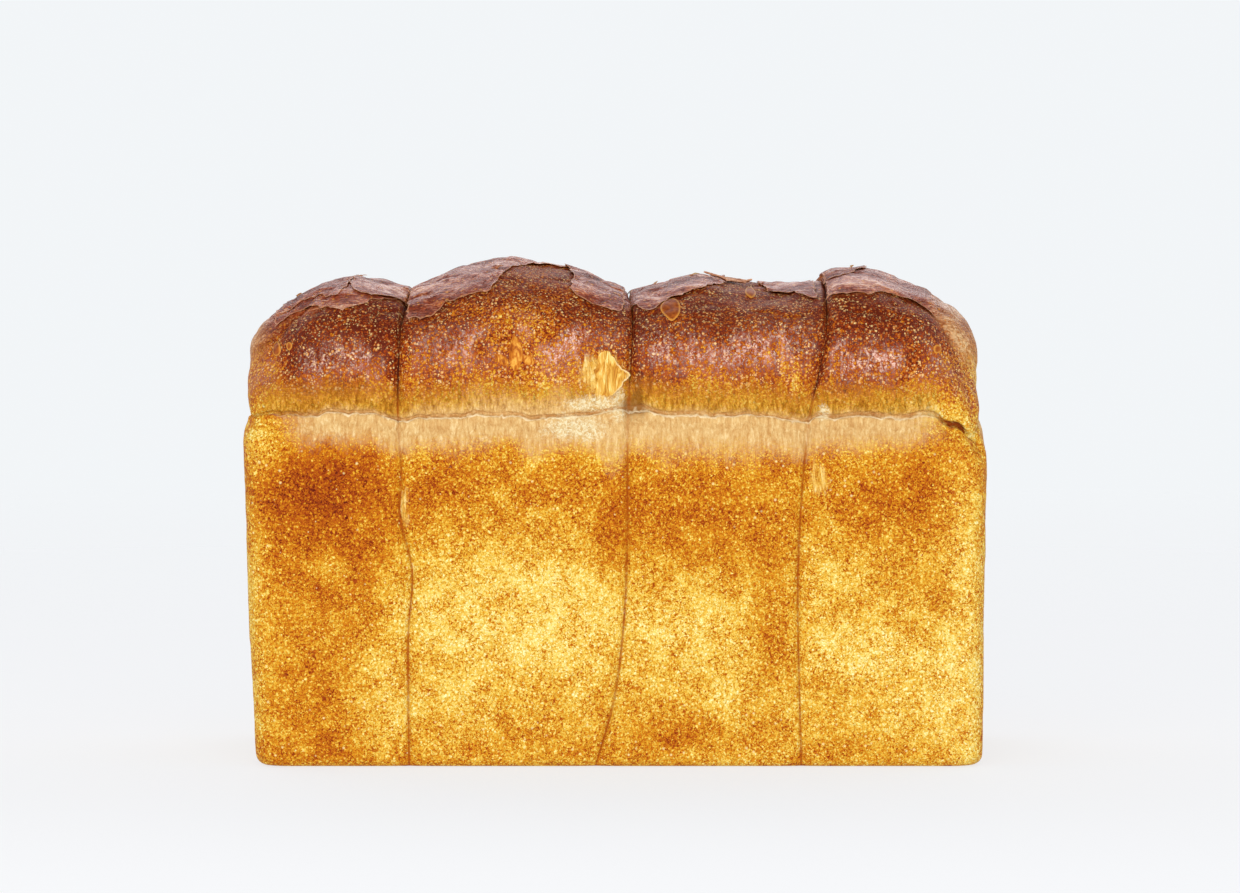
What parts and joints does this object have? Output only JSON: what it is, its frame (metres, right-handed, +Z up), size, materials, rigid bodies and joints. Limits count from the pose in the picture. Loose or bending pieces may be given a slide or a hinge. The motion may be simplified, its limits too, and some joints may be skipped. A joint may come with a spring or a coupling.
{
  "type": "tin loaf",
  "caption": "Whole loaf of white bread from an open tin: a square block below the rim, crowned on top by a row of risen balls with thin seams between them.",
  "frame": {"origin": "middle of the flat base, under the middle of the loaf's bounding box", "axes": "+X along the loaf, +Y from its front to its back, +Z up from the base to the crowns"},
  "size_m": [0.2502, 0.122, 0.1719],
  "materials": {
    "crust": "baked crust, golden on the walls and dark brown on the crowns, with a dull sheen"
  },
  "bodies": {
    "root": {"loaf": "crust"}
  },
  "joints": []
}
